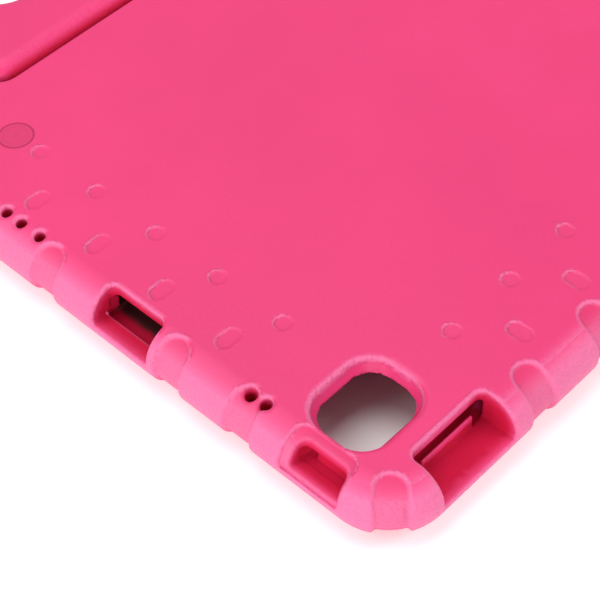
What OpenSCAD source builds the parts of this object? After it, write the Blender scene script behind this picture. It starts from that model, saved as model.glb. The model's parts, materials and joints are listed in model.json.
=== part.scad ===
// Moulded foam tablet case with a swinging carry handle on its far long edge.
// Units are millimetres. X runs along the long side, Y across it towards the handle,
// Z up from the front lip (the screen side lies down) to the moulded back face.
// The case is drawn from its own near left corner, then moved so that the origin is the
// middle of the footprint, on the plane of the front lip.

/* [Tablet bay] */
// length of the tablet that the bay holds
tablet_len = 248; // [240:0.5:256]
// width of the tablet that the bay holds
tablet_wid = 178.5; // [172:0.5:186]
// height of the bay between the front lip and the back panel
bay_depth = 7; // [6:0.1:9]
// plan radius of the bay's corners
bay_corner_r = 12; // [6:0.5:18]
// how far the front lip reaches over the tablet's edge
lip_cover = 5.5; // [3:0.1:6]
// width of the bevel around the screen opening
lip_bevel = 2.4; // [1:0.1:3]

/* [Foam shell] */
// foam wall on the left and right ends
wall_side = 11.4; // [9:0.1:14]
// foam wall on the near edge
wall_near = 12.6; // [10:0.1:15]
// foam beyond the bay on the handle's edge
wall_far = 24.5; // [22:0.1:28]
// foam between the bay and the notch that the handle swings in
notch_wall = 7.4; // [6:0.1:12]
// thickness of the front lip
lip_thick = 8.4; // [6:0.1:10]
// thickness of the back panel
back_thick = 4.6; // [3:0.1:6]
// plan radius of the case's corners
corner_r = 19.6; // [15:0.1:24]

/* [Camera window] */
// near left corner of the window, measured from the case's own corner
camera_x = 13.3; // [12.5:0.1:20]
// distance of the window from the near edge
camera_y = 22.1; // [17:0.1:30]
// window size along the long side
camera_len = 24.5; // [16:0.1:30]
// window size across the case
camera_wid = 20.1; // [14:0.1:26]
// plan radius of the window's corners
camera_r = 7; // [3:0.1:9]
// how far the window's walls lean outwards up to the back face
camera_flare = 2.8; // [1:0.1:4]

/* [Button and port pockets] */
// start of the power button pocket along the left edge
power_y = 21.3; // [17:0.1:30]
// length of the power button pocket
power_len = 16; // [10:0.1:24]
// depth of the power button pocket in from the edge
power_depth = 7.3; // [4:0.1:8]
// height of the power pocket's floor
power_floor = 11.3; // [9.5:0.1:12.5]
// width of the end slot on the charging port
port_len = 21.6; // [14:0.1:30]
// depth of the port pocket in from the edge
port_depth = 9.9; // [7:0.1:10.5]
// height of the port pocket's floor
port_floor = 9.8; // [8.5:0.1:11]
// width of the rail left outside the port's inner trench
port_rail = 6; // [3:0.1:7]
// height of the inner trench's floor in the port pocket
port_trench = 7.4; // [6:0.1:8.2]
// start of the volume pocket along the near edge
volume_x = 20.3; // [17:0.1:30]
// length of the volume pocket
volume_len = 29.1; // [18:0.1:40]
// depth of the volume pocket in from the edge
volume_depth = 13.1; // [12.7:0.1:14]
// height of the volume pocket's floor
volume_floor = 9.1; // [8.6:0.1:11]

/* [Speaker holes] */
// distance of the hole row from the case's end
speaker_x = 8.1; // [7:0.1:9.5]
// bore of each speaker hole
speaker_d = 3.4; // [2:0.1:5]
// mouth of each hole's funnel
speaker_mouth_d = 6.2; // [4:0.1:8]

/* [Surface pattern] */
// pitch of the dimples along both sides
dimple_pitch = 25; // [20:0.1:30]
// diameter of a round dimple
dimple_d = 5.3; // [3:0.1:8]
// length of an oval dimple
oval_len = 8; // [6:0.1:12]
// width of an oval dimple
oval_wid = 5; // [3:0.1:8]
// depth of the dimples
dimple_depth = 0.5; // [0.2:0.05:1]
// pitch of the grip grooves along the near edge
groove_pitch = 28.4; // [24:0.1:32]
// width of a grip groove
groove_wid = 9.4; // [6:0.1:14]
// depth of the grip grooves
groove_depth = 1.1; // [0.5:0.05:2]
// how far a grip groove reaches in over the back
groove_reach = 9.3; // [6:0.1:12]
// how much further the near edge's grooves reach in
groove_extra = 1.8; // [0:0.1:3]
// radius of the round moulding mark on the back
mark_r = 5.4; // [3:0.1:8]

/* [Handle] */
// overall width of the handle ring
handle_wid = 189; // [160:1:210]
// overall height of the handle ring
handle_height = 92; // [75:1:110]
// thickness of the handle
handle_t = 14; // [12:0.1:15]
// plan radius of the two corners at the hinge
handle_low_r = 9.5; // [9:0.5:16]
// plan radius of the two corners at the grip
handle_top_r = 24; // [15:0.5:30]
// band between the hinge edge and the finger opening
band_low = 28; // [24:0.1:31]
// band on each side of the finger opening
band_side = 23.5; // [19:0.1:30]
// band of the grip
band_top = 25; // [20:0.1:32]
// plan radius of the finger opening's corners
grip_r = 11; // [8:0.5:16]
// air gap between the handle and the case
handle_gap = 0.9; // [0.4:0.05:1.5]
// thickness of the shelf that carries the raised handle
shelf_t = 8.1; // [6:0.1:9]
// air gap between the shelf and the handle
shelf_gap = 0.4; // [0.3:0.05:1]
// plan radius of the notch's inner corners
notch_r = 8; // [3:0.5:8]

/* [Hinge hardware] */
// diameter of the hinge pins
pin_d = 4; // [3:0.1:5]
// running clearance of a pin in the handle's core
pin_clear = 0.05; // [0.02:0.01:0.1]
// outer diameter of the bush in each ear
bush_d = 5.8; // [5:0.1:7]
// how deep the plug sits in from the case's end
plug_inset = 12; // [10:0.1:16]
// length of the plug
plug_len = 2.8; // [2:0.1:5]
// length of pin that stands in the handle
pin_reach = 24; // [16:0.5:30]
// thickness of the handle's stiff core
core_t = 4; // [3:0.1:6]
// foam around the core's outline
core_cover = 5; // [4:0.1:8]
// radius of the core's two hinge bosses
boss_r = 4; // [3.2:0.1:5]

/* [Hidden] */

$fn = 64;
// overlap of faces that meet, of cuts that meet, and of cuts that leave the part
eps = 0.02;
lap = 1;
over = 3;

case_len = tablet_len + 2 * wall_side;
case_wid = wall_near + tablet_wid + wall_far;
case_t = lip_thick + bay_depth + back_thick;
rim_r = case_t / 2;
bay_top = lip_thick + bay_depth;

// hinge line: the handle's lower edge is a half round whose centre is the hinge axis
handle_r = handle_t / 2;
handle_z0 = shelf_t + shelf_gap;
axis_z = handle_z0 + handle_r;
notch_y = wall_near + tablet_wid + notch_wall;
axis_y = notch_y + handle_gap + handle_r;
handle_x0 = (case_len - handle_wid) / 2;
handle_y0 = axis_y - handle_r;
notch_x0 = handle_x0 - handle_gap;
notch_len = handle_wid + 2 * handle_gap;
total_wid = handle_y0 + handle_height;
bush_x0 = plug_inset + plug_len;
// foam left clear round the pin, the closed end of its bore, and the gap in front of its tip
pin_room = 0.6;
boss_cap = 3;
pin_end_gap = 1;
bore_len = core_cover + pin_reach - boss_cap;

// finger opening in the handle
grip_len = handle_wid - 2 * band_side;
grip_wid = handle_height - band_low - band_top;

// volume rib: start, near side, end and top; power rib: near side, start, end and top
volume_rib = [23.4, 11.6, 45.3, 13.5];
power_rib = [8.3, 21.3, 34.1, 13.7];
power_rib_t = 1.8;
power_field = [1.2, 3.2, 1.5];
port_y = wall_near + (tablet_wid - port_len) / 2;
port_slot_over = 0.3;
port_slot_r = 2;
pocket_r = 2.5;

speaker_pair = [51.7, 57.3];
speaker_trio = [141.7, 149.7, 156.1];
speaker_channel_z = 10.4;
speaker_channel_h = 3.4;
funnel_h = 1.5;

end_grooves = [56.3, 82.9, 133.9];
edge_groove_x = 61.2;
// the corner's groove starts on the corner's arc and reaches a little further in
corner_in = corner_r * (1 - cos(45));
corner_extra = 1;
edge_groove_n = floor((case_len - 2 * edge_groove_x) / groove_pitch) + 1;

mark_pos = [30.3, 177.9];
mark_line = 0.4;
mark_depth = 0.35;
mark_point_r = 0.5;
mark_point_depth = 0.2;

// first dimple of each row, and how many fit before the next corner
end_circle = [30.65, 67.2];
end_oval = [16.8, 74.5];
oval_pitch_extra = 1;
edge_circle = [59.15, 31.35];
edge_oval = [71.2, 17.7];
end_circle_n = floor((mark_pos[1] - end_circle[1]) / dimple_pitch) + 1;
end_oval_n = end_circle_n - 1;
oval_pitch = dimple_pitch + oval_pitch_extra;
edge_circle_n = floor((case_len - 2 * edge_circle[0]) / dimple_pitch) + 1;
edge_oval_n = edge_circle_n - 1;

// ---- flat outlines ----------------------------------------------------------------
module rounded(len, wid, r) {
    translate([r, 0]) square([len - 2 * r, wid]);
    translate([0, r]) square([len, wid - 2 * r]);
    for (x = [r, len - r], y = [r, wid - r]) translate([x, y]) circle(r);
}

// a plate outline with one radius at its low corners and another at its high corners
module tapered_outline(len, wid, r_low, r_top) {
    translate([r_top, wid / 2]) square([len - 2 * r_top, wid / 2]);
    translate([0, wid / 2]) square([len, wid / 2 - r_top]);
    for (x = [r_top, len - r_top]) translate([x, wid - r_top]) circle(r_top);
    translate([r_low, 0]) square([len - 2 * r_low, wid / 2 + eps]);
    translate([0, r_low]) square([len, wid / 2 - r_low + eps]);
    for (x = [r_low, len - r_low]) translate([x, r_low]) circle(r_low);
}

// half disc that stands out of the line x = at
module half_disc(r, at) {
    translate([at, 0]) difference() {
        circle(r);
        translate([-2 * r, -2 * r]) square([2 * r, 4 * r]);
    }
}

// half disc that points inwards from the line x = at
module half_disc_in(r, at) {
    translate([at, 0]) difference() {
        circle(r);
        translate([0, -2 * r]) square([2 * r, 4 * r]);
    }
}

module stadium(len, wid) {
    translate([-len / 2 + wid / 2, -wid / 2]) square([len - wid, wid]);
    for (s = [-1, 1]) translate([s * (len - wid) / 2, 0]) circle(wid / 2);
}

// ---- rounded slab: flat plate with a half-round edge all the way round --------------
module slab(len, wid, t, r) {
    e = t / 2;
    translate([e, e, 0]) linear_extrude(t) rounded(len - 2 * e, wid - 2 * e, r - e);
    // four straight edges
    translate([0, r, e]) rotate([90, 0, 180]) linear_extrude(wid - 2 * r) half_disc(e, -e);
    translate([len, wid - r, e]) rotate([90, 0, 0]) linear_extrude(wid - 2 * r) half_disc(e, -e);
    translate([r, wid, e]) rotate([90, 0, 90]) linear_extrude(len - 2 * r) half_disc(e, -e);
    translate([len - r, 0, e]) rotate([90, 0, -90]) linear_extrude(len - 2 * r) half_disc(e, -e);
    // four corners
    translate([r, r, e]) rotate(180) rotate_extrude(angle = 90) half_disc(e, r - e);
    translate([len - r, r, e]) rotate(270) rotate_extrude(angle = 90) half_disc(e, r - e);
    translate([len - r, wid - r, e]) rotate_extrude(angle = 90) half_disc(e, r - e);
    translate([r, wid - r, e]) rotate(90) rotate_extrude(angle = 90) half_disc(e, r - e);
}

// ---- cuts in the shell ---------------------------------------------------------------
module bay() {
    translate([wall_side, wall_near, lip_thick]) linear_extrude(bay_depth)
        rounded(tablet_len, tablet_wid, bay_corner_r);
    // screen opening through the front lip, bevelled on its outside
    open_len = tablet_len - 2 * lip_cover;
    open_wid = tablet_wid - 2 * lip_cover;
    open_r = bay_corner_r - lip_cover;
    translate([wall_side + lip_cover, wall_near + lip_cover, 0]) {
        translate([0, 0, -over]) linear_extrude(lip_thick + over + eps)
            rounded(open_len, open_wid, open_r);
        hull() {
            translate([0, 0, lip_bevel]) linear_extrude(eps)
                rounded(open_len, open_wid, open_r, $fn = 32);
            translate([-lip_bevel, -lip_bevel, -eps]) linear_extrude(eps)
                rounded(open_len + 2 * lip_bevel, open_wid + 2 * lip_bevel,
                        open_r + lip_bevel, $fn = 32);
        }
    }
}

// window whose walls lean outwards over the whole thickness of the back panel
module camera_window() {
    hull() {
        translate([camera_x, camera_y, bay_top - eps]) linear_extrude(eps)
            rounded(camera_len, camera_wid, camera_r, $fn = 48);
        translate([camera_x - camera_flare, camera_y - camera_flare, case_t]) linear_extrude(eps)
            rounded(camera_len + 2 * camera_flare, camera_wid + 2 * camera_flare,
                    camera_r + camera_flare, $fn = 48);
    }
}

// recess open to the outside and to the top; its back corners are rounded in plan
module edge_recess(depth, len, floor_z, r) {
    translate([-over, 0, floor_z]) linear_extrude(case_t) {
        square([over + depth - r, len]);
        translate([0, r]) square([over + depth, len - 2 * r]);
        for (y = [r, len - r]) translate([over + depth - r, y]) circle(r);
    }
}

module power_pocket() {
    translate([0, power_y, 0]) edge_recess(power_depth, power_len, power_floor, pocket_r);
    difference() {
        translate([power_depth - lap, power_y, power_floor])
            cube([wall_side - power_depth + lap + eps, power_len, bay_top - power_floor]);
        translate([power_rib[0], power_rib[1] - lap, power_floor - lap])
            cube([power_rib_t, power_rib[2] - power_rib[1] + lap,
                  power_rib[3] - power_floor + lap]);
    }
}

module port_pocket() {
    slot_y = port_y - port_slot_over;
    slot_len = port_len + 2 * port_slot_over;
    translate([0, port_y, 0]) edge_recess(port_depth, port_len, port_floor, pocket_r);
    // trench and slot down to the tablet's edge
    translate([port_rail, slot_y, port_trench]) linear_extrude(port_floor - port_trench + lap)
        rounded(wall_side - port_rail + over, slot_len, port_slot_r);
    translate([port_depth - lap, slot_y, 0]) rotate([90, 0, 90])
        linear_extrude(wall_side - port_depth + lap + eps)
        translate([0, port_trench]) rounded(slot_len, bay_top - port_trench, port_slot_r);
}

module volume_pocket() {
    difference() {
        translate([volume_x, 0, 0]) mirror([1, -1, 0])
            edge_recess(volume_depth, volume_len, volume_floor, pocket_r);
        translate([volume_rib[0], volume_rib[1], 0])
            cube([volume_rib[2] - volume_rib[0], over, volume_rib[3]]);
    }
}

module speaker_holes(rows) {
    for (y = rows) translate([speaker_x, y, 0]) {
        translate([0, 0, speaker_channel_z]) cylinder(d = speaker_d, h = case_t);
        translate([0, 0, case_t - funnel_h - 0.1])
            cylinder(d1 = speaker_d, d2 = speaker_mouth_d, h = funnel_h);
        translate([0, 0, case_t - 0.1 - eps]) cylinder(d = speaker_mouth_d, h = lap);
    }
    // sound channel behind the holes, open to the bay
    first = rows[0] - speaker_d;
    last = rows[len(rows) - 1] + speaker_d;
    translate([speaker_x - speaker_d / 2, first, speaker_channel_z])
        cube([wall_side - speaker_x + speaker_d / 2 + eps, last - first, speaker_channel_h]);
}

module end_cuts() {
    port_pocket();
    speaker_holes(speaker_pair);
    speaker_holes(speaker_trio);
}

// ---- surface pattern --------------------------------------------------------------------
module groove_prism(reach) {
    translate([reach - groove_wid / 2, 0, -over]) cylinder(d = groove_wid, h = case_t + 2 * over);
    translate([-over, -groove_wid / 2, -over])
        cube([over + reach - groove_wid / 2, groove_wid, case_t + 2 * over]);
}

module end_groove_prisms() {
    for (y = end_grooves) translate([0, y, 0]) groove_prism(groove_reach);
    translate([corner_in, corner_in, 0]) rotate(45) groove_prism(groove_reach + corner_extra);
}

module grooves() {
    difference() {
        union() {
            end_groove_prisms();
            translate([case_len, 0, 0]) mirror([1, 0, 0]) end_groove_prisms();
            for (k = [0 : edge_groove_n - 1])
                translate([edge_groove_x + k * groove_pitch, 0, 0]) rotate(90)
                    groove_prism(groove_reach + groove_extra);
            // shallow field around the power pocket
            translate([-over, power_y - power_field[0], power_floor - power_field[2]])
                cube([over + groove_reach, power_len + power_field[0] + power_field[1], case_t]);
        }
        translate([groove_depth, groove_depth, groove_depth])
            slab(case_len - 2 * groove_depth, case_wid - 2 * groove_depth,
                 case_t - 2 * groove_depth, corner_r - groove_depth);
    }
}

module round_dimple() {
    translate([0, 0, -dimple_depth])
        cylinder(d1 = dimple_d - 2 * dimple_depth, d2 = dimple_d, h = dimple_depth);
    translate([0, 0, -eps]) cylinder(d = dimple_d, h = lap);
}

module oval_dimple() {
    translate([0, 0, -dimple_depth]) linear_extrude(dimple_depth + lap) stadium(oval_len, oval_wid);
}

module end_dimples() {
    for (k = [0 : end_circle_n - 1])
        translate([end_circle[0], end_circle[1] + k * dimple_pitch, case_t]) round_dimple();
    for (k = [0 : end_oval_n - 1])
        translate([end_oval[0], end_oval[1] + k * oval_pitch, case_t]) oval_dimple();
}

module dimples() {
    end_dimples();
    translate([case_len, 0, 0]) mirror([1, 0, 0]) end_dimples();
    for (k = [0 : edge_circle_n - 1])
        translate([edge_circle[0] + k * dimple_pitch, edge_circle[1], case_t]) round_dimple();
    for (k = [0 : edge_oval_n - 1])
        translate([edge_oval[0] + k * dimple_pitch, edge_oval[1], case_t])
            rotate(90) oval_dimple();
}

// ring groove and centre point of the moulding mark
module moulding_mark() {
    translate([mark_pos[0], mark_pos[1], case_t]) {
        translate([0, 0, -mark_depth]) linear_extrude(mark_depth + lap) difference() {
            circle(mark_r);
            circle(mark_r - mark_line);
        }
        translate([0, 0, -mark_point_depth]) cylinder(r = mark_point_r, h = lap);
    }
}

// ---- notch and hinge holes ------------------------------------------------------------
module notch() {
    translate([notch_x0, notch_y, shelf_t]) linear_extrude(case_t)
        rounded(notch_len, case_wid, notch_r);
}

// runs a shape along the hinge line, from x0 over len
module on_axis(x0, len, r) {
    translate([x0, axis_y, axis_z]) rotate([0, 90, 0]) cylinder(r = r, h = len);
}

module shell_solid() {
    difference() {
        slab(case_len, case_wid, case_t, corner_r);
        bay();
        camera_window();
        power_pocket();
        volume_pocket();
        end_cuts();
        translate([case_len, 0, 0]) mirror([1, 0, 0]) end_cuts();
        notch();
        on_axis(-over, notch_x0 + 2 * over, bush_d / 2);
        on_axis(case_len - notch_x0 - over, notch_x0 + 2 * over, bush_d / 2);
        grooves();
        dimples();
        moulding_mark();
    }
}

// ---- handle ---------------------------------------------------------------------------
module ring_beads(e) {
    w = handle_wid;
    h = handle_height;
    a = handle_low_r;
    b = handle_top_r;
    // outside edge
    translate([0, a, 0]) rotate([90, 0, 180]) linear_extrude(h - a - b) half_disc(e, -e);
    translate([w, h - b, 0]) rotate([90, 0, 0]) linear_extrude(h - a - b) half_disc(e, -e);
    translate([b, h, 0]) rotate([90, 0, 90]) linear_extrude(w - 2 * b) half_disc(e, -e);
    translate([w - a, 0, 0]) rotate([90, 0, -90]) linear_extrude(w - 2 * a) half_disc(e, -e);
    translate([a, a, 0]) rotate(180) rotate_extrude(angle = 90) half_disc(e, a - e);
    translate([w - a, a, 0]) rotate(270) rotate_extrude(angle = 90) half_disc(e, a - e);
    translate([w - b, h - b, 0]) rotate_extrude(angle = 90) half_disc(e, b - e);
    translate([b, h - b, 0]) rotate(90) rotate_extrude(angle = 90) half_disc(e, b - e);
}

module grip_beads(e) {
    l = grip_len;
    s = grip_wid;
    r = grip_r;
    translate([0, s - r, 0]) rotate([90, 0, 0]) linear_extrude(s - 2 * r) half_disc(e, -e);
    translate([l, r, 0]) rotate([90, 0, 180]) linear_extrude(s - 2 * r) half_disc(e, -e);
    translate([l - r, s, 0]) rotate([90, 0, -90]) linear_extrude(l - 2 * r) half_disc(e, -e);
    translate([r, 0, 0]) rotate([90, 0, 90]) linear_extrude(l - 2 * r) half_disc(e, -e);
    translate([r, r, 0]) rotate(180) rotate_extrude(angle = 90) half_disc_in(e, r + e);
    translate([l - r, r, 0]) rotate(270) rotate_extrude(angle = 90) half_disc_in(e, r + e);
    translate([l - r, s - r, 0]) rotate_extrude(angle = 90) half_disc_in(e, r + e);
    translate([r, s - r, 0]) rotate(90) rotate_extrude(angle = 90) half_disc_in(e, r + e);
}

module handle_ring() {
    e = handle_r;
    translate([handle_x0, handle_y0, handle_z0]) {
        linear_extrude(handle_t) difference() {
            translate([e, e])
                tapered_outline(handle_wid - 2 * e, handle_height - 2 * e,
                                handle_low_r - e, handle_top_r - e);
            translate([band_side - e, band_low - e])
                rounded(grip_len + 2 * e, grip_wid + 2 * e, grip_r + e);
        }
        translate([0, 0, e]) ring_beads(e);
        translate([band_side, band_low, e]) grip_beads(e);
    }
}

// stiff ring in the middle of the foam, with a boss at each end of the hinge line
module core_ring() {
    c = core_cover;
    translate([handle_x0, handle_y0, axis_z - core_t / 2]) linear_extrude(core_t) difference() {
        translate([c, c])
            tapered_outline(handle_wid - 2 * c, handle_height - 2 * c,
                            handle_low_r - c, handle_top_r - c);
        translate([band_side - c, band_low - c])
            rounded(grip_len + 2 * c, grip_wid + 2 * c, grip_r + c);
    }
    on_axis(handle_x0 + c, pin_reach, boss_r);
    on_axis(case_len - handle_x0 - c - pin_reach, pin_reach, boss_r);
}

// ---- the pieces --------------------------------------------------------------------------
module place() {
    translate([-case_len / 2, -total_wid / 2, 0]) children();
}

module shell() {
    color([0.93, 0.2, 0.47]) place() shell_solid();
}

module handle() {
    color([0.93, 0.2, 0.47]) place() difference() {
        handle_ring();
        core_ring();
        on_axis(handle_x0 - over, core_cover + over + lap, pin_d / 2 + pin_room);
        on_axis(case_len - handle_x0 - core_cover - lap, core_cover + over + lap, pin_d / 2 + pin_room);
    }
}

module handle_core() {
    color([0.25, 0.25, 0.27]) place() difference() {
        core_ring();
        on_axis(handle_x0, bore_len, pin_d / 2 + pin_clear);
        on_axis(case_len - handle_x0 - bore_len, bore_len, pin_d / 2 + pin_clear);
    }
}

// one side's hardware, drawn on the left
module pin() {
    on_axis(bush_x0, handle_x0 + bore_len - pin_end_gap - bush_x0, pin_d / 2);
}

module bush() {
    difference() {
        on_axis(bush_x0, notch_x0 - bush_x0, bush_d / 2);
        on_axis(bush_x0 - over, notch_x0 + 2 * over, pin_d / 2);
    }
}

module plug() {
    on_axis(plug_inset, plug_len, bush_d / 2);
}

module right_side() {
    translate([case_len, 0, 0]) mirror([1, 0, 0]) children();
}

module hinge_pin_left() {
    color([0.75, 0.75, 0.77]) place() pin();
}

module hinge_pin_right() {
    color([0.75, 0.75, 0.77]) place() right_side() pin();
}

module ear_bush_left() {
    color([0.2, 0.2, 0.22]) place() bush();
}

module ear_bush_right() {
    color([0.2, 0.2, 0.22]) place() right_side() bush();
}

module pin_plug_left() {
    color([0.8, 0.12, 0.36]) place() plug();
}

module pin_plug_right() {
    color([0.8, 0.12, 0.36]) place() right_side() plug();
}

shell();
handle();
handle_core();
hinge_pin_left();
hinge_pin_right();
ear_bush_left();
ear_bush_right();
pin_plug_left();
pin_plug_right();
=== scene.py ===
# %% [markdown]
# # A foam tablet case with a swinging carry handle
# The case is one soft foam moulding: a rounded bumper round a flat back. A foam ring, the
# handle, hangs in a notch on its far long edge. The solids come in as a fixed frame, and the
# two mouldings are dressed here with meshes that have the soft arrises of moulded foam.

# %% Load the frame and measure it
import json
import math

import bpy
import numpy as np
from mathutils import Matrix, Vector


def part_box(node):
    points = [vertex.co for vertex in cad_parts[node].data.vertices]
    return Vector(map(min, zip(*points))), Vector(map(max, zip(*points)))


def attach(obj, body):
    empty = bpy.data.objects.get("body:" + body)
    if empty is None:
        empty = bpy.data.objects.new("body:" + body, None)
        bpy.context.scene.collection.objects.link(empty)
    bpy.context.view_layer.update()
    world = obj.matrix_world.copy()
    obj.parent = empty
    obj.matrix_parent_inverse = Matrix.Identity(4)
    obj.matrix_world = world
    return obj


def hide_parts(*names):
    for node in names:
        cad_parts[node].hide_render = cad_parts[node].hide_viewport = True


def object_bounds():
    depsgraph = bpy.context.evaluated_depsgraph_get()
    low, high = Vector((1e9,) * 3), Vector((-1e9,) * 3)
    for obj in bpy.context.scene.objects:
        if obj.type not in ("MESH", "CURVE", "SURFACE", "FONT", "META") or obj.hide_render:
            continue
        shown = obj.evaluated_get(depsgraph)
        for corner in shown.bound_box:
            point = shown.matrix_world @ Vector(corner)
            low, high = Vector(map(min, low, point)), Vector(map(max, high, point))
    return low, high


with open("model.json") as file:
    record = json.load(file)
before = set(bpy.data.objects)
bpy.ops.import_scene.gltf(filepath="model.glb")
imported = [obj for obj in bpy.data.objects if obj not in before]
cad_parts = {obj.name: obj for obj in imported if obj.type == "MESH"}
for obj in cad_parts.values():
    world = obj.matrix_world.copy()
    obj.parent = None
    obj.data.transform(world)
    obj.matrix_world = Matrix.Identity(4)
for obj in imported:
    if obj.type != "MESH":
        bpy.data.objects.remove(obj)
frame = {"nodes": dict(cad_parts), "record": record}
frame_low, frame_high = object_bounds()

MM = 0.001
shell_low, shell_high = (np.array(v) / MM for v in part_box("shell"))
handle_low, handle_high = (np.array(v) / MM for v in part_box("handle"))
case_len, case_wid, case_thick = shell_high - shell_low
print("case, mm:", case_len.round(1), case_wid.round(1), case_thick.round(1))

# %% [markdown]
# ## Shapes as distances
# Moulded foam has no sharp edge anywhere: every pocket, hole and groove meets the surface in
# a small round. Bevels on a mesh with this many cuts would tangle, so each form is written as
# a distance instead: below zero inside it, above zero outside. Cutting one form from another
# is then a formula, and the radius of the arris is one of its inputs. All lengths in these
# formulas are millimetres from the case's own near left corner.

# %% Distances in plan
def plan_block(x, y, x0, y0, x1, y1, r):
    """Distance from a rectangle with round corners, seen from above."""
    dx = np.abs(x - (x0 + x1) / 2) - (x1 - x0) / 2 + r
    dy = np.abs(y - (y0 + y1) / 2) - (y1 - y0) / 2 + r
    inner = np.minimum(np.maximum(dx, dy), 0)
    return np.hypot(np.maximum(dx, 0), np.maximum(dy, 0)) + inner - r


def plan_slot(along, across, reach, width):
    """Distance from a band that comes in from the outside and ends in a half circle."""
    end = reach - width / 2
    return np.hypot(np.maximum(along - end, 0), across) - width / 2


def plan_pill(x, y, cx, cy, length, width, upright):
    """Distance from a pill shape; upright turns its long way across the case."""
    a, b = (y - cy, x - cx) if upright else (x - cx, y - cy)
    return np.hypot(np.maximum(np.abs(a) - (length - width) / 2, 0), b) - width / 2


# %% Ways to put two forms together
def both(a, b, r):
    """What lies in both forms, with the edge between them rounded to r."""
    corner = np.hypot(np.maximum(a + r, 0), np.maximum(b + r, 0))
    return np.minimum(np.maximum(a, b), -r) + corner


def without(a, b, r):
    """Form a with form b cut away, its arris rounded to r."""
    return both(a, -b, r)


def bumper(plan, z, z0, z1):
    """A flat plate whose whole edge is a half round; plan is the distance from its outline."""
    e = (z1 - z0) / 2
    return np.hypot(np.maximum(plan + e, 0), z - (z0 + z1) / 2) - e


def carve(form, p, low, high, tool, arris):
    """Cuts tool out of form, working only on the points in the box low..high."""
    near = np.all((p > low) & (p < high), axis=1)
    if near.any():
        form[near] = without(form[near], tool(*p[near].T), arris)


# %% [markdown]
# ## The shell
# Sizes of the one-piece shell, in millimetres. The camera window, the pockets and the speaker
# holes lie where the tablet's own parts are. A rectangle is given as x0, y0, x1, y1, and a
# pocket as start, end, depth inwards and height of its floor. Each carve() works only in a box
# round its own cut, and that box may reach beyond the case by `beyond` and above it to `above`.

# %% Sizes of the shell
beyond, above = 9, 99
corner_r = 19.6
wall = 11.4
bay = (wall, 12.6, case_len - wall, 191.1)
bay_z = (8.4, 15.4)
bay_r = 12.0
lip_cover = 5.5
camera = (13.3, 22.1, 37.8, 42.2)
camera_r, camera_flare = 7.0, 2.8
middle_y = (bay[1] + bay[3]) / 2
power = (21.3, 37.3, 7.3, 11.3)
port_reach = 10.8
port = (middle_y - port_reach, middle_y + port_reach, 9.9, 9.8)
volume = (20.3, 49.4, 13.1, 9.1)
pocket_r = 2.5
speaker_x, speaker_r = 8.1, 1.7
speaker_rows = ((51.7, 57.3), (141.7, 149.7, 156.1))
speaker_channel = (10.4, 13.8)
notch = (handle_low[0] - shell_low[0] - 0.9, 198.5, 8.1, 8.0)
hinge = (handle_low[1] - shell_low[1] + 7.0, (handle_low[2] + handle_high[2]) / 2)
shell_bore_r, handle_bore_r = 2.9, 2.6
groove_wid, groove_deep, groove_reach, groove_soft = 9.4, 1.1, 9.3, 0.9
end_grooves = (56.3, 82.9, 133.9)
edge_grooves = [61.2 + 28.4 * k for k in range(6)]
round_dimple, oval_dimple = (5.3, 5.3), (8.0, 5.0)
dimple_pitch, end_oval_pitch = 25, 26
print("hinge line at y, z:", [round(float(v), 2) for v in hinge])

# %% Bumper, bay and camera window
def shell_plate(x, y, z):
    """The plain moulding before anything is cut in it, a little uneven as foam is."""
    plan = plan_block(x, y, 0, 0, case_len, case_wid, corner_r)
    wave = np.sin(x / 19 + 1.3) * np.sin(y / 23 + 0.4) + 0.6 * np.sin(x / 9 - y / 12)
    return bumper(plan, z, 0, case_thick) + 0.035 + 0.02 * wave


def cut_openings(form, p):
    """Cuts the leaning camera window, the bay for the tablet and the screen opening."""
    x0, y0, x1, y1 = camera
    lean = camera_flare / (case_thick - bay_z[1])
    carve(form, p, (x0 - 6, y0 - 6, bay_z[1] - 2), (x1 + 6, y1 + 6, above),
          lambda x, y, z: (plan_block(x, y, x0, y0, x1, y1, camera_r)
                           - lean * np.maximum(z - bay_z[1], 0)) / math.hypot(1, lean), 0.9)
    bx0, by0, bx1, by1 = bay
    carve(form, p, (bx0 - 2, by0 - 2, bay_z[0] - 3), (bx1 + 2, by1 + 2, bay_z[1] + 3),
          lambda x, y, z: both(plan_block(x, y, bx0, by0, bx1, by1, bay_r),
                               np.abs(z - sum(bay_z) / 2) - (bay_z[1] - bay_z[0]) / 2, 0.6), 0.3)
    c = lip_cover
    carve(form, p, (bx0 - 2, by0 - 2, -beyond), (bx1 + 2, by1 + 2, bay_z[0] + 2),
          lambda x, y, z: plan_block(x, y, bx0 + c, by0 + c, bx1 - c, by1 - c, bay_r - c), 2.0)


# %% [markdown]
# ## Pockets
# Each button sits at the bottom of a pocket that is open to the side and to the back. A
# pocket is a block with round corners that comes in from outside and stops above a rail, so
# a fingertip or a plug can reach the tablet through it.

# %% Pockets for the buttons and the ports
def pocket_tool(along, across, z, start, end, depth, floor, r):
    """A recess open to the outside and the top; along runs inwards from the edge."""
    plan = plan_block(along, across, -30, start, depth, end, r)
    return both(plan, floor - z, 0.8)


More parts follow.
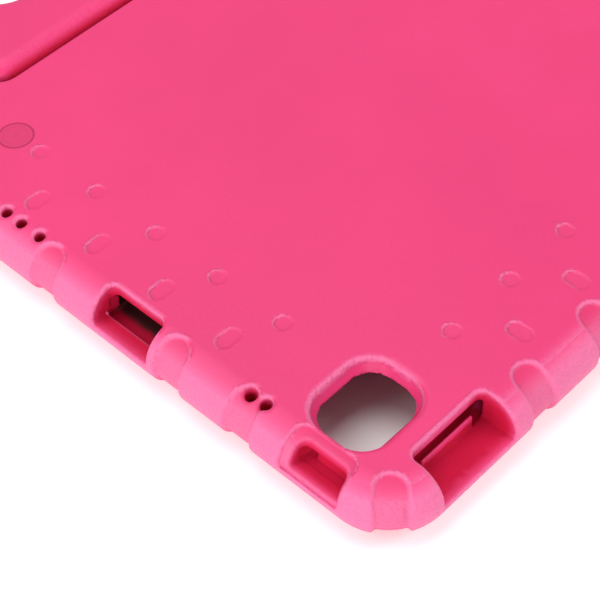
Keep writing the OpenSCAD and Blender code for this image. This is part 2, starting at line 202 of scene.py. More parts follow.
def cut_power_pocket(form, p):
    """The power button's pocket: a shallow field, the pocket, and a slot behind its rail."""
    start, end, depth, floor = power
    near, far = (-beyond, start - 4, 4), (13, end + 6, above)
    carve(form, p, (-beyond, start - 8, 2), (16, end + 12, above),
          lambda x, y, z: both(both(plan_block(x, y, -30, start - 1.2, 10.6, end + 3.2, 3.5),
                                    floor - 1.5 - z, 1.0),
                               -shell_plate(x, y, z) - 1.1, 0.5), 0.7)
    carve(form, p, near, far,
          lambda x, y, z: pocket_tool(x, y, z, start, end, depth, floor, pocket_r), 1.3)
    rail_x0, rail_x1, rail_end, rail_top = 8.3, 10.1, 34.1, 13.7

    def slot(x, y, z):
        hole = both(plan_block(x, y, depth - 2, start, wall + 1, end, 0.3),
                    np.abs(z - (floor + bay_z[1]) / 2) - (bay_z[1] - floor) / 2, 0.4)
        rail = both(plan_block(x, y, rail_x0, start - 9, rail_x1, rail_end, 0.8),
                    z - rail_top, 0.8)
        return without(hole, rail, 0.3)

    carve(form, p, near, far, slot, 0.4)


def cut_port(form, p):
    """The port at the middle of an end: recess, inner trench, and slot into the bay."""
    start, end, depth, floor = port
    near, far = (-beyond, start - 4, 1), (14, end + 4, above)
    carve(form, p, near, far,
          lambda x, y, z: pocket_tool(x, y, z, start, end, depth, floor, pocket_r), 1.4)
    trench_x, trench_low, half_high, spare, r = 6.0, 7.4, 1.7, 0.3, 2.0
    carve(form, p, near, far,
          lambda x, y, z: both(plan_block(x, y, trench_x, start - spare, 16, end + spare, r),
                               np.abs(z - trench_low - half_high) - half_high, 0.5), 0.4)
    carve(form, p, near, far,
          lambda x, y, z: both(plan_block(y, z, start - spare, trench_low, end + spare,
                                          bay_z[1], r),
                               np.abs(x - depth - 0.5) - 2.5, 0.3), 0.4)


def cut_volume_pocket(form, p):
    """The volume buttons' pocket, with a bar left standing before the bay."""
    start, end, depth, floor = volume
    near, far = (start - 4, -beyond, 2), (end + 4, 17, above)
    bar_x0, bar_y0, bar_x1, bar_top = 23.4, 11.6, 45.3, 14.3

    def tool(x, y, z):
        block = pocket_tool(y, x, z, start, end, depth, floor, pocket_r)
        bar = both(plan_block(x, y, bar_x0, bar_y0, bar_x1, 30, 1.2), z - bar_top, 1.2)
        return without(block, bar, 0.4)

    carve(form, p, near, far, tool, 1.3)


# %% Speaker holes
def cut_speakers(form, p):
    """Round holes with a funnel mouth, joined inside by a channel to the bay."""
    low, high = speaker_channel
    for row in speaker_rows:
        for y0 in row:
            carve(form, p, (speaker_x - 5, y0 - 5, low - 2), (speaker_x + 5, y0 + 5, above),
                  lambda x, y, z: np.maximum(np.hypot(x - speaker_x, y - y0) - speaker_r,
                                             low - z), 1.4)
        carve(form, p, (speaker_x - 4, row[0] - 6, low - 2), (wall + 2, row[-1] + 6, high + 2),
              lambda x, y, z: both(plan_block(x, y, speaker_x - speaker_r, row[0] - 3.4,
                                              wall + 2, row[-1] + 3.4, 0.5),
                                   np.abs(z - (low + high) / 2) - (high - low) / 2, 0.3), 0.2)


# %% [markdown]
# ## Grip pattern
# Bands are pressed into the bumper for grip, each ending in a half circle on the back. Rows
# of shallow dimples follow the edges, round ones inside and oval ones outside. All of them
# keep the bumper's own curve: the floor of a band is the bumper moved in by its depth.

# %% Grooves
def press(form, p, low, high, plan, depth, floor_r, arris):
    """Presses an outline into the surface; depth is a length, or a function of x and y."""
    def tool(x, y, z):
        deep = depth(x, y) if callable(depth) else depth
        return both(plan(x, y), -shell_plate(x, y, z) - deep, floor_r)

    carve(form, p, low, high, tool, arris)


def press_grooves(form, p):
    """The grooves of one end, and the slanting one at its near corner."""
    w, deep, reach, soft = groove_wid, groove_deep, groove_reach, groove_soft
    for y0 in end_grooves:
        press(form, p, (-beyond, y0 - 8, -beyond), (13, y0 + 8, above),
              lambda x, y: plan_slot(x, y - y0, reach, w), deep, soft, soft)
    at = corner_r * (1 - math.sqrt(0.5))
    press(form, p, (-beyond, -beyond, -beyond), (24, 24, above),
          lambda x, y: plan_slot((x + y - 2 * at) * math.sqrt(0.5), (x - y) * math.sqrt(0.5),
                                 reach + 1, w), deep, soft, soft)


def press_edge_grooves(form, p):
    """The grooves of the near long edge, which reach a little further in."""
    for x0 in edge_grooves:
        press(form, p, (x0 - 8, -beyond, -beyond), (x0 + 8, 15, above),
              lambda x, y: plan_slot(y, x - x0, groove_reach + 1.8, groove_wid),
              groove_deep, groove_soft, groove_soft)


# %% Dimples
def press_dimple(form, p, x0, y0, size, upright):
    """A scoop: deep at its far left side, running out towards its near right side."""
    length, width = size
    reach = max(length, width) / 2 + 2.5

    def depth(x, y):
        across = ((y - y0) - (x - x0)) * math.sqrt(0.5) / (width / 2)
        return 0.36 + 0.3 * np.clip(across, -1, 1)

    press(form, p, (x0 - reach, y0 - reach, case_thick - 4), (x0 + reach, y0 + reach, above),
          lambda x, y: plan_pill(x, y, x0, y0, length, width, upright), depth, 0.4, 0.5)


def press_end_dimples(form, p):
    """A row of five round dimples along one end, and four oval ones outside it."""
    for k in range(5):
        press_dimple(form, p, 30.65, 67.2 + dimple_pitch * k, round_dimple, False)
    for k in range(4):
        press_dimple(form, p, 16.8, 74.5 + end_oval_pitch * k, oval_dimple, False)


def press_edge_dimples(form, p):
    """A row of seven round dimples along the near edge, and six oval ones outside it."""
    for k in range(7):
        press_dimple(form, p, 59.15 + dimple_pitch * k, 31.35, round_dimple, False)
    for k in range(6):
        press_dimple(form, p, 71.2 + dimple_pitch * k, 17.7, oval_dimple, True)


# %% Notch for the handle
def hinge_bore(y, z, r):
    """Distance from a bore of radius r along the hinge line."""
    return np.hypot(y - hinge[0], z - hinge[1] + shell_low[2]) - r


def cut_notch(form, p):
    """The open notch in the far edge, and the bore for the pins through both its ears."""
    x0, y0, floor, r = notch
    carve(form, p, (x0 - 4, y0 - 4, floor - 4), (case_len - x0 + 4, 999, above),
          lambda x, y, z: both(plan_block(x, y, x0, y0, case_len - x0, 400, r),
                               floor - z, 1.2), 0.7)
    carve(form, p, (-beyond, hinge[0] - 6, hinge[1] - 6),
          (case_len + beyond, hinge[0] + 6, hinge[1] + 6),
          lambda x, y, z: hinge_bore(y, z, shell_bore_r), 0.35)


# %% The whole shell as one form
def mirrored(p):
    """The same points seen from the right-hand end."""
    other = p.copy()
    other[:, 0] = case_len - other[:, 0]
    return other


def shell_form(p):
    """Distance from the finished shell, for points p in millimetres from its corner."""
    form = shell_plate(*p.T)
    q = mirrored(p)
    for side in (p, q):
        press_grooves(form, side)
        press_end_dimples(form, side)
    press_edge_grooves(form, p)
    press_edge_dimples(form, p)
    cut_openings(form, p)
    cut_power_pocket(form, p)
    cut_volume_pocket(form, p)
    for side in (p, q):
        cut_port(form, side)
        cut_speakers(form, side)
    cut_notch(form, p)
    return form


# %% [markdown]
# ## The handle
# The handle is a foam ring with the same half-round edge as the bumper, outside and round
# the finger opening. Its lower band is the hinge: its edge is round about the hinge line, so
# it turns in the notch without touching it.

# %% The handle as one form
ring = np.array([handle_low[0], handle_low[1], handle_high[0], handle_high[1]])
ring = ring - np.array([shell_low[0], shell_low[1], shell_low[0], shell_low[1]])
ring_z = (handle_low[2] - shell_low[2], handle_high[2] - shell_low[2])
low_r, high_r, finger_r = 9.5, 24.0, 11.0
band_low, band_side, band_top = 28.0, 23.5, 25.0


def handle_plate(x, y, z):
    """The plain ring before its hinge bores are cut."""
    x0, y0, x1, y1 = ring
    r = np.where(y < (y0 + y1) / 2, low_r, high_r)
    outline = plan_block(x, y, x0, y0, x1, y1, r)
    fingers = plan_block(x, y, x0 + band_side, y0 + band_low, x1 - band_side,
                         y1 - band_top, finger_r)
    wave = np.sin(x / 13 + 0.7) * np.sin(y / 15 + 1.1)
    return bumper(np.maximum(outline, -fingers), z, *ring_z) + 0.02 + 0.015 * wave


def handle_form(p):
    """Distance from the handle, for points p in millimetres from the case's corner."""
    form = handle_plate(*p.T)
    for x_side in (ring[0], ring[2]):
        carve(form, p, (x_side - 9, hinge[0] - 6, -above), (x_side + 9, hinge[0] + 6, above),
              lambda x, y, z: hinge_bore(y, z, handle_bore_r), 0.4)
    return form


# %% [markdown]
# ## From a form to a mesh
# The form is sampled on a grid. Each grid cell that the surface passes through gets one
# vertex at the mean of its edge crossings, and each grid edge that crosses the surface gets
# one quad: this is the method called surface nets. The mesh is then thinned out where it is
# flat, and its vertices are moved onto the exact surface, with normals from the form itself.

# %% Surface nets
CORNERS = np.array([(i, j, k) for i in (0, 1) for j in (0, 1) for k in (0, 1)])
EDGES = [(a, b) for a in range(8) for b in range(a) if np.abs(CORNERS[a] - CORNERS[b]).sum() == 1]


def net_vertices(grid):
    """One vertex for each cell of the grid that the surface passes through."""
    inside = grid < 0
    nx, ny, nz = (n - 1 for n in grid.shape)
    count = sum(inside[i:i + nx, j:j + ny, k:k + nz].astype(np.int8) for i, j, k in CORNERS)
    crossed = (count > 0) & (count < 8)
    cells = np.argwhere(crossed)
    number = np.full(crossed.shape, -1, np.int32)
    number[crossed] = np.arange(len(cells))
    value = np.stack([grid[tuple((cells + c).T)] for c in CORNERS], axis=1)
    total, hits = np.zeros((len(cells), 3)), np.zeros(len(cells))
    for a, b in EDGES:
        va, vb = value[:, a], value[:, b]
        hit = (va < 0) != (vb < 0)
        t = np.where(hit, va / np.where(hit, va - vb, 1), 0)[:, None]
        total += np.where(hit[:, None], CORNERS[a] + t * (CORNERS[b] - CORNERS[a]), 0)
        hits += hit
    return cells + total / hits[:, None], number, inside


def net_quads(number, inside):
    """One quad for each grid edge that crosses the surface, wound to face outwards."""
    quads = []
    for axis in range(3):
        first = np.moveaxis(inside, axis, 0)
        cells = np.moveaxis(number, axis, 0)
        s = first[:-1, 1:-1, 1:-1] != first[1:, 1:-1, 1:-1]
        i, j, k = np.argwhere(s).T
        loop = np.stack([cells[i, j, k], cells[i, j + 1, k], cells[i, j + 1, k + 1],
                         cells[i, j, k + 1]], axis=1)
        leaving = first[i, j + 1, k + 1]
        flip = leaving if axis == 1 else ~leaving
        loop[flip] = loop[flip][:, ::-1]
        quads.append(loop)
    return np.concatenate(quads)


# %% [markdown]
# ## Light inside soft foam
# Light that falls into a pocket of soft pink foam goes in and out of its walls many times, and
# comes back a deeper red. Computing that would be slow and noisy, and an exported model would
# lose it, so it is painted: each vertex stores how far it lies below the plain moulding, and the
# material reads that as an attribute. Two more attributes are painted light as well: a paler
# painted sheen on raised edges, with painted highlights on the walls of the back's dimples and
# along the ports' trenches, and painted shade on a hidden face that gets no light at all.

# %% Where the foam glows deep red
GLOW_FROM, GLOW_OVER = 0.6, 2.8


def open_share(x, y, z):
    """1 where a cut may glow, and 0 on top of the volume bar and inside the bay."""
    start, end = volume[0] + 2, volume[0] + 24
    bar = (z > 12.4) & (y > 10.5) & (y < 13.2) & (x > start) & (x < end)
    by_bar = (y < bay[1] + 9) & (x > volume[0] - 1) & (x < volume[1] + 1)
    in_bay = (plan_block(x, y, *bay, bay_r) < -0.3) & ~by_bar
    return np.where(in_bay | bar, 0, 1)


def handle_glow(x, y, z):
    """1 on the handle's hinge edge, down in the gap to the case, where deep-red shade is painted.
    """
    return np.clip((ring[1] + 3.0 - y) / 1.8, 0, 1)


def port_highlight(x, y, z):
    """1 on a thin line along the outer edge of the trench in each end's port, painted as a
    highlight.
    """
    inwards = np.minimum(x, case_len - x)
    along = (np.abs(y - middle_y) < 11) & (np.abs(inwards - 6.1) < 0.45)
    return along & (np.abs(z - port[3]) < 0.6)


def shade_share(x, y, z):
    """1 on the front lip's hidden inner face by the ports, where no light comes."""
    by_port = (np.abs(y - middle_y) < 18) & (z > bay_z[0] - 1.5) & (z < bay_z[0] + 0.4)
    return by_port & (x > wall - 0.8) & (x < case_len - wall + 0.8)


# %% Painted sheen on edges, and storing the three masks
def sheen_share(x, y, z, normals, below):
    """Painted sheen: 1 on faces that turn away from the flat back, fading out below the skin, and
    on the ports' highlight lines.
    """
    flat = normals[:, 2]
    rise = np.clip((1 - flat) * 3, 0, 1) * np.clip((flat + 0.6) / 0.4, 0, 1)
    # in the back's dimples, walls that face the near side get a painted highlight, the others
    # none
    scoop = (z > 19) & (flat > 0.6)
    rise = np.where(scoop, np.clip(rise * (1 - 4 * normals[:, 1]), 0, 1), rise)
    rise = rise * np.clip((1.9 + below) / 0.8, 0, 1)
    return np.maximum(rise, port_highlight(x, y, z))


def store_light(mesh, exact, normals, plain, glow):
    """Stores the three attributes; plain is the moulding before its cuts, glow adds to red."""
    below = plain(*exact.T)
    red = np.clip((-below - GLOW_FROM) / GLOW_OVER, 0, 1) * open_share(*exact.T)
    red = red * (1 - port_highlight(*exact.T))
    if glow:
        red = np.maximum(red, glow(*exact.T))
    shares = {"unlit": shade_share(*exact.T), "hollow": red,
              "edge": sheen_share(*exact.T, normals, below)}
    for label, share in shares.items():
        stored = mesh.attributes.new(label, "FLOAT", "POINT")
        stored.data.foreach_set("value", share.astype(np.float32))


# %% Settling vertices on the exact surface
def slope(form, p, h=0.04):
    """The direction in which the form grows, at each point."""
    steps = np.eye(3) * h
    return np.stack([form(p + s) - form(p - s) for s in steps], axis=1) / (2 * h)


def settle(form, p, rounds):
    """Moves points along the slope until they lie on the surface."""
    for _ in range(rounds):
        g = slope(form, p)
        move = (form(p) / np.maximum((g * g).sum(axis=1), 0.25))[:, None] * g
        p = p - np.clip(move, -0.3, 0.3)
    return p


# %% The mesh of one moulding
def thin_out(name, verts, quads, keep):
    """A new object whose mesh keeps the given share of its faces."""
    mesh = bpy.data.meshes.new(name)
    mesh.from_pydata((verts * MM).tolist(), [], quads.tolist())
    piece = bpy.data.objects.new(name, mesh)
    bpy.context.collection.objects.link(piece)
    thin = piece.modifiers.new("thin", "DECIMATE")
    thin.ratio = keep
    slim = bpy.data.meshes.new_from_object(
        piece.evaluated_get(bpy.context.evaluated_depsgraph_get()))
    piece.modifiers.remove(thin)
    piece.data = slim
    bpy.data.meshes.remove(mesh)
    slim.name = name
    return piece


def foam_mesh(name, form, plain, low, high, step, keep, glow=None):
    """Builds the mesh of a form in the box low..high on a grid of the given step."""
    axes = [np.arange(a, b + step, step) for a, b in zip(low, high)]
    points = np.stack(np.meshgrid(*axes, indexing="ij"), axis=-1).reshape(-1, 3)
    grid = form(points).reshape([len(a) for a in axes])
    cells, number, inside = net_vertices(grid)
    verts = settle(form, cells * step + np.array(low), 1)
    quads = net_quads(number, inside)
    piece = thin_out(name, verts, quads, keep)
    mesh = piece.data
    co = np.empty(len(mesh.vertices) * 3)
    mesh.vertices.foreach_get("co", co)
    exact = settle(form, co.reshape(-1, 3) / MM, 2)
    normals = slope(form, exact)
    normals /= np.linalg.norm(normals, axis=1)[:, None]
    mesh.vertices.foreach_set("co", ((exact + shell_low) * MM).ravel())
    mesh.shade_smooth()
    mesh.normals_split_custom_set_from_vertices(normals.tolist())
    store_light(mesh, exact, normals, plain, glow)
    print(name, "quads:", len(quads), "kept faces:", len(mesh.polygons))
    return piece


# %% Build the two mouldings
shell_step, shell_keep = ((0.6, 0.25))
handle_step, handle_keep = ((0.9, 0.5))
foam_shell = foam_mesh("foam_shell", shell_form, shell_plate, (-1.5, -1.5, -1.5),
                       (case_len + 1.5, case_wid + 1.5, case_thick + 1.5),
                       shell_step, shell_keep)
foam_handle = foam_mesh("foam_handle", handle_form, handle_plate,
                        (ring[0] - 2, ring[1] - 2, ring_z[0] - 2),
                        (ring[2] + 2, ring[3] + 2, ring_z[1] + 2),
                        handle_step, handle_keep, handle_glow)
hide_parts("shell")
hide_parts("handle")
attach(foam_shell, "case")
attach(foam_handle, "handle")

# %% [markdown]
# ## Finishes
# Moulded foam rubber has a fine leathery grain from the mould, and a satin skin whose gloss
# changes a little from place to place. The grain is one node group, shared by the shell, the
# handle, the plugs and the black plastic, each with its own cell size. It could be real
# displacement, but cells of a millimetre would need millions of faces, so it is a bump.

# %% Node helpers
def new_group(name, inputs, outputs):
    """An empty shader group with float inputs {name: default} and typed outputs."""
    tree = bpy.data.node_groups.new(name, "ShaderNodeTree")
    for label, value in inputs.items():
        socket = tree.interface.new_socket(label, in_out="INPUT", socket_type="NodeSocketFloat")
        socket.default_value = value
    for label, kind in outputs.items():
        tree.interface.new_socket(label, in_out="OUTPUT", socket_type=kind)
    return tree, tree.nodes.new("NodeGroupInput"), tree.nodes.new("NodeGroupOutput")


def node(tree, kind, **settings):
    """Adds a node; a setting whose name is an input's is set there, others on the node."""
    made = tree.nodes.new(kind)
    for key, value in settings.items():
        label = key.replace("_", " ").title()
        if label in made.inputs:
            made.inputs[label].default_value = value
        else:
            setattr(made, key, value)
    return made


def maths(tree, operation, a, b):
    """A Math node on two sockets or numbers."""
    made = tree.nodes.new("ShaderNodeMath")
    made.operation = operation
    for socket, value in zip(made.inputs, (a, b)):
        if isinstance(value, (int, float)):
            socket.default_value = value
        else:
            tree.links.new(value, socket)
    return made.outputs[0]


# %% Foam grain group
def make_grain_group():
    """Leathery cells under a fine noise, as a height, and a slow gloss mask."""
    tree, enter, leave = new_group("foam_grain", {"Cell mm": 1.1, "Depth": 1.0},
                                   {"Height": "NodeSocketFloat", "Gloss": "NodeSocketFloat"})
    place = tree.nodes.new("ShaderNodeTexCoord").outputs["Object"]
    scale = maths(tree, "DIVIDE", 1000.0, enter.outputs["Cell mm"])
    warp = node(tree, "ShaderNodeTexNoise", scale=700.0, detail=2.0)
    tree.links.new(place, warp.inputs["Vector"])
    bend = node(tree, "ShaderNodeVectorMath", operation="MULTIPLY_ADD")
    tree.links.new(warp.outputs["Color"], bend.inputs[0])
    bend.inputs[1].default_value = (0.0006,) * 3
    tree.links.new(place, bend.inputs[2])
    cells = node(tree, "ShaderNodeTexVoronoi", feature="SMOOTH_F1")
    tree.links.new(bend.outputs[0], cells.inputs["Vector"])
    tree.links.new(scale, cells.inputs["Scale"])
    fine = node(tree, "ShaderNodeTexNoise", scale=2600.0, detail=3.0)
    tree.links.new(place, fine.inputs["Vector"])
    pillow = maths(tree, "SUBTRACT", 1.0, cells.outputs["Distance"])
    mixed = maths(tree, "ADD", pillow, maths(tree, "MULTIPLY", fine.outputs["Fac"], 0.35))
    tree.links.new(maths(tree, "MULTIPLY", mixed, enter.outputs["Depth"]), leave.inputs["Height"])
    slow = node(tree, "ShaderNodeTexNoise", scale=22.0, detail=4.0)
    tree.links.new(place, slow.inputs["Vector"])
    tree.links.new(slow.outputs["Fac"], leave.inputs["Gloss"])
    return tree


grain_group = make_grain_group()
print("group:", grain_group.name)

# %% Moulding mark group
def make_mark_group():
    """A round mark on the back: one mask for its ring line and one for what is inside."""
    tree, enter, leave = new_group("moulding_mark",
                                   {"X mm": 0.0, "Y mm": 0.0, "Radius mm": 5.0, "Line mm": 0.5},
                                   {"Ring": "NodeSocketFloat", "Disc": "NodeSocketFloat"})
    place = tree.nodes.new("ShaderNodeTexCoord").outputs["Object"]
    split = tree.nodes.new("ShaderNodeSeparateXYZ")
    tree.links.new(place, split.inputs[0])
    dx = maths(tree, "SUBTRACT", maths(tree, "MULTIPLY", split.outputs[0], 1000.0),
               enter.outputs["X mm"])
    dy = maths(tree, "SUBTRACT", maths(tree, "MULTIPLY", split.outputs[1], 1000.0),
               enter.outputs["Y mm"])
    away = maths(tree, "SQRT", maths(tree, "ADD", maths(tree, "MULTIPLY", dx, dx),
                                     maths(tree, "MULTIPLY", dy, dy)), 0.0)
    from_ring = maths(tree, "ABSOLUTE", maths(tree, "SUBTRACT", away, enter.outputs["Radius mm"]),
                      0.0)
    share = maths(tree, "DIVIDE", from_ring, enter.outputs["Line mm"])
    tree.links.new(maths(tree, "MAXIMUM", maths(tree, "SUBTRACT", 1.0, share), 0.0),
                   leave.inputs["Ring"])
    tree.links.new(maths(tree, "LESS_THAN", away, enter.outputs["Radius mm"]),
                   leave.inputs["Disc"])
    return tree


mark_group = make_mark_group()
print("group:", mark_group.name)

# %% Foam material
# the paler pink is a painted sheen on raised edges, the deep red is painted shade where light has
# bounced deep in pockets and gaps, and the brown is painted shade on a face no light reaches
PINK = (0.80, 0.04, 0.185)
SHEEN_PINK = (0.86, 0.17, 0.37)
DEEP_RED = (0.58, 0.001, 0.045)
SHADE_BROWN = (0.06, 0.012, 0.014)
MARK_RED = (0.36, 0.004, 0.05)


def new_material(name, slot, colour, roughness):
    """A material with its Principled shader, plain values set on the shader itself."""
    material = bpy.data.materials.new(name)
    material.use_nodes = True
    skin = material.node_tree.nodes["Principled BSDF"]
    skin.inputs["Base Color"].default_value = (*colour, 1)
    skin.inputs["Roughness"].default_value = roughness
    material["slot"] = slot
    return material, material.node_tree, skin


def ramp(tree, socket, low, high, dark, light):
    """A colour ramp between two colours or greys."""
    made = tree.nodes.new("ShaderNodeValToRGB")
    made.color_ramp.elements[0].position, made.color_ramp.elements[1].position = low, high
    made.color_ramp.elements[0].color, made.color_ramp.elements[1].color = (*dark, 1), (*light, 1)
    tree.links.new(socket, made.inputs["Fac"])
    return made.outputs["Color"]


def tint(tree, mask, socket, colour):
    """Mixes a plain colour over a colour socket where the mask is 1."""
    made = tree.nodes.new("ShaderNodeMixRGB")
    tree.links.new(mask, made.inputs["Fac"])
    tree.links.new(socket, made.inputs["Color1"])
    made.inputs["Color2"].default_value = (*colour, 1)
    return made.outputs["Color"]


def foam_material(name, slot, colour, cell, depth, edge_sheen):
    """Satin foam skin: grain as a bump, and a colour with painted sheen, painted deep-red shade
    or painted dark shade by mask.
    """
    material, tree, skin = new_material(name, slot, colour, 0.48)
    skin.inputs["Specular IOR Level"].default_value = 0.3
    grain = tree.nodes.new("ShaderNodeGroup")
    grain.node_tree = grain_group
    grain.inputs["Cell mm"].default_value = cell
    grain.inputs["Depth"].default_value = depth
    deep = tuple(c * 0.96 for c in colour)
    pale = tuple(min(1, c * 1.03 + 0.004) for c in colour)
    hollow, edge, unlit = (node(tree, "ShaderNodeAttribute", attribute_name=label).outputs["Fac"]
                           for label in ("hollow", "edge", "unlit"))
    shade = ramp(tree, grain.outputs["Gloss"], 0.3, 0.7, deep, pale)
    # painted sheen on edges, then painted deep-red shade in hollows, then painted dark shade on
    # the unlit face
    shade = tint(tree, maths(tree, "MULTIPLY", edge, edge_sheen), shade, SHEEN_PINK)
    shade = tint(tree, hollow, shade, DEEP_RED)
    tree.links.new(tint(tree, unlit, shade, SHADE_BROWN), skin.inputs["Base Color"])
    dull = maths(tree, "MULTIPLY", hollow, 0.4)
    tree.links.new(maths(tree, "ADD", maths(tree, "MULTIPLY", grain.outputs["Gloss"], 0.2),
                         maths(tree, "ADD", dull, 0.34)), skin.inputs["Roughness"])
    bump = node(tree, "ShaderNodeBump", strength=0.9, distance=0.0005)
    coarse = maths(tree, "ADD", maths(tree, "MULTIPLY", edge, 0.92), 0.08)
    tree.links.new(maths(tree, "MULTIPLY", grain.outputs["Height"], coarse),
                   bump.inputs["Height"])
    tree.links.new(bump.outputs["Normal"], skin.inputs["Normal"])
    return material


# %% Moulding mark on the shell's material
# each ring's share of the mark's radius, the width of its line in mm, and its strength
MARK_RINGS = ((1.0, 0.5, 0.95), (0.72, 0.3, 0.16), (0.1, 0.3, 0.2))
MARK_DISC = 0.26


def add_mark(material, x, y, radius):
    """A dark ring round a slightly darker disc, with two faint rings inside it."""
    tree = material.node_tree
    skin = tree.nodes["Principled BSDF"]
    colour = skin.inputs["Base Color"].links[0].from_socket
    for share, line, strength in MARK_RINGS:
        mark = tree.nodes.new("ShaderNodeGroup")
        mark.node_tree = mark_group
        for label, value in (("X mm", x), ("Y mm", y), ("Radius mm", radius * share),
                             ("Line mm", line)):
            mark.inputs[label].default_value = value
        masks = [maths(tree, "MULTIPLY", mark.outputs["Ring"], strength)]
        if share == 1.0:
            masks.append(maths(tree, "MULTIPLY", mark.outputs["Disc"], MARK_DISC))
        for mask in masks:
            colour = tint(tree, mask, colour, MARK_RED)
    tree.links.new(colour, skin.inputs["Base Color"])


shell_skin = foam_material("shell_foam", "foam", PINK, 1.1, 1.0, 0.9)
add_mark(shell_skin, shell_low[0] + 30.3, shell_low[1] + 177.9, 5.4)
foam_shell.data.materials.append(shell_skin)
handle_skin = foam_material("handle_foam", "handle_foam", PINK, 1.1, 0.5, 0.0)
foam_handle.data.materials.append(handle_skin)
print("foam colour:", PINK)

# %% [markdown]
# ## Hinge hardware
# The ring in the handle, the pins, the bushes and the plugs keep their solids and get their
# own finishes: matt black plastic, drawn steel and plain foam.

# %% Materials for the inner pieces
def plastic_material(name, slot, colour):
    """Matt black plastic with a very fine grain."""
    material, tree, skin = new_material(name, slot, colour, 0.5)
    grain = tree.nodes.new("ShaderNodeGroup")
    grain.node_tree = grain_group
    grain.inputs["Cell mm"].default_value = 0.5
    bump = node(tree, "ShaderNodeBump", strength=0.2, distance=0.00005)
    tree.links.new(grain.outputs["Height"], bump.inputs["Height"])
    tree.links.new(bump.outputs["Normal"], skin.inputs["Normal"])
    return material


def steel_material(name, slot):
    """Drawn wire: fine lines along the pin."""
    material, tree, skin = new_material(name, slot, (0.56, 0.56, 0.58), 0.3)
    skin.inputs["Metallic"].default_value = 1
    place = tree.nodes.new("ShaderNodeTexCoord").outputs["Object"]
    stretch = tree.nodes.new("ShaderNodeMapping")
    stretch.inputs["Scale"].default_value = (20, 4000, 4000)
    tree.links.new(place, stretch.inputs["Vector"])
    lines = node(tree, "ShaderNodeTexNoise", scale=1.0, detail=3.0)
    tree.links.new(stretch.outputs["Vector"], lines.inputs["Vector"])
    tree.links.new(ramp(tree, lines.outputs["Fac"], 0.3, 0.7, (0.24,) * 3, (0.4,) * 3),
                   skin.inputs["Roughness"])
    return material


finishes = {
    "core_plastic": plastic_material("core_plastic", "core_plastic", (0.03, 0.03, 0.034)),
    "bush_plastic": plastic_material("bush_plastic", "bush_plastic", (0.045, 0.045, 0.05)),
    "pin_steel": steel_material("pin_steel", "pin_steel"),
    "plug_foam": foam_material("plug_foam", "plug_foam", (0.78, 0.03, 0.16), 0.9, 0.8, 0),
}
for part in frame["record"]["subparts"]:
    finish = finishes.get(part["material_slot"])
    if finish:
        solid = frame["nodes"][part["node"]]
        for slot_of in solid.material_slots:
            slot_of.material = finish
print("finished inner pieces:", sorted(finishes))

# %% [markdown]
# ## Table, light and camera
# The case lies screen side down on a white table. A broad soft lamp hangs overhead, two more
# stand at the far left and the near right, and two small low ones light the near rims. The
# white room adds a weak light of its own, and looks fully white only to rays from the camera,
# off a gloss or through glass. The table glows a little for the same rays outside the case, so
# that it stays white and still keeps the case's shadow. The camera has a long lens, which keeps
# the perspective mild, and looks down over the near left corner.

# %% Table
def seen_directly(tree):
    """1 for rays from the camera, off a gloss or through glass, and 0 for the rest."""
    path = tree.nodes.new("ShaderNodeLightPath")
    return maths(tree, "MAXIMUM", maths(tree, "MAXIMUM", path.outputs["Is Camera Ray"],
                                        path.outputs["Is Glossy Ray"]),
                 path.outputs["Is Transmission Ray"])


TABLE_GLOW = 0.35  # 1 would be white on its own, but the lamps light the table too


def make_table():
    """A wide white table, which glows only where the case doesn't stand."""
    bpy.ops.mesh.primitive_plane_add(size=8, location=(0, 0, float(frame_low.z)))
    table = bpy.context.object
    table.name = "table"
    material, tree, skin = new_material("white_table", "stage", (0.93, 0.93, 0.93), 0.9)
    place = tree.nodes.new("ShaderNodeTexCoord").outputs["Object"]
    split = tree.nodes.new("ShaderNodeSeparateXYZ")
    tree.links.new(place, split.inputs[0])
    beside = maths(tree, "GREATER_THAN", maths(tree, "ABSOLUTE", split.outputs[0], 0.0),
                   case_len / 2 * MM - 0.01)
    behind = maths(tree, "GREATER_THAN", split.outputs[1], shell_high[1] * MM - 0.03)
    in_front = maths(tree, "LESS_THAN", split.outputs[1], shell_low[1] * MM + 0.01)
    around_case = maths(tree, "MAXIMUM", maths(tree, "MAXIMUM", beside, behind), in_front)
    tree.links.new(maths(tree, "MULTIPLY", seen_directly(tree), around_case),
                   skin.inputs["Emission Color"])
    skin.inputs["Emission Strength"].default_value = TABLE_GLOW
    table.data.materials.append(material)
    print("table at z:", round(float(frame_low.z), 4))


make_table()

# %% World
def make_world(strength):
    """A white room that lights the case at the given strength."""
    world = bpy.data.worlds.new("white_room")
    bpy.context.scene.world = world
    world.use_nodes = True
    tree = world.node_tree
    tree.nodes.clear()
    room = node(tree, "ShaderNodeBackground", strength=strength)
    white = node(tree, "ShaderNodeBackground", strength=1.0)
    for shade in (room, white):
        shade.inputs["Color"].default_value = (1, 1, 1, 1)
    mix = tree.nodes.new("ShaderNodeMixShader")
    tree.links.new(seen_directly(tree), mix.inputs[0])
    tree.links.new(room.outputs[0], mix.inputs[1])
    tree.links.new(white.outputs[0], mix.inputs[2])
    out = tree.nodes.new("ShaderNodeOutputWorld")
    tree.links.new(mix.outputs[0], out.inputs["Surface"])


make_world(0.2)

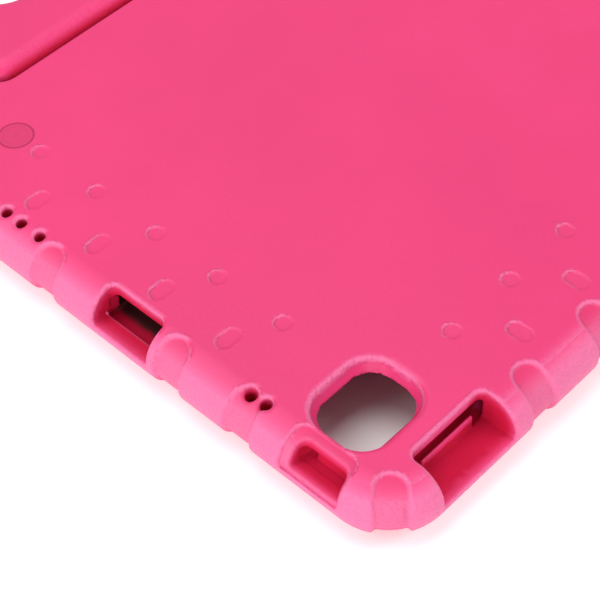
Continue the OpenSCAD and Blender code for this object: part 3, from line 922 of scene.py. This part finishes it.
# %% Lamps
# azimuth and height in degrees, size in metres, power in watts
LAMPS = {"overhead_lamp": (80, 78, 1.0, 9), "far_left_lamp": (148, 38, 0.9, 5),
         "near_right_lamp": (-50, 30, 0.6, 6), "left_low_lamp": (190, 10, 0.4, 4),
         "front_low_lamp": (225, 12, 0.4, 5)}


def soft_lamp(name, place, size, watts):
    """A square area lamp aimed at the case's middle."""
    lamp = bpy.data.lights.new(name, "AREA")
    lamp.shape, lamp.size, lamp.energy = "SQUARE", size, watts
    holder = bpy.data.objects.new(name, lamp)
    bpy.context.collection.objects.link(holder)
    holder.location = place
    holder.rotation_euler = (-Vector(place)).to_track_quat("-Z", "Y").to_euler()


def around(azimuth, height, away=1.3):
    """A place at an azimuth from +X and a height angle, both in degrees, seen from the case."""
    a, h = math.radians(azimuth), math.radians(height)
    return (away * math.cos(h) * math.cos(a), away * math.cos(h) * math.sin(a),
            away * math.sin(h))


for lamp_name, (azimuth, height, size, watts) in LAMPS.items():
    soft_lamp(lamp_name, around(azimuth, height), size, watts)
print("lamps:", list(LAMPS))

# %% Camera
from_corner = Vector((-0.1821, -0.1515, 0.3783))
looking = Vector((0.466, 0.464, -0.753))
lens_mm, roll_degrees = 104.04, -2.18


def make_camera():
    """A long lens over the near left corner, rolled a little."""
    place = Vector(shell_low * MM) + from_corner
    forward = looking.normalized()
    level = forward.cross(Vector((0, 0, 1))).normalized()
    across_level = level.cross(forward)
    roll = math.radians(roll_degrees)
    right = level * math.cos(roll) + across_level * math.sin(roll)
    up = right.cross(forward)
    lens = bpy.data.cameras.new("camera")
    lens.lens, lens.sensor_width = lens_mm, 36
    lens.clip_start, lens.clip_end = 0.01, 50
    holder = bpy.data.objects.new("camera", lens)
    bpy.context.collection.objects.link(holder)
    turn = Matrix((right, up, -forward)).transposed()
    holder.matrix_world = Matrix.Translation(place) @ turn.to_4x4()
    bpy.context.scene.camera = holder
    print("camera at:", [round(v, 3) for v in place])


make_camera()
bpy.context.scene.view_settings.view_transform = "Standard"
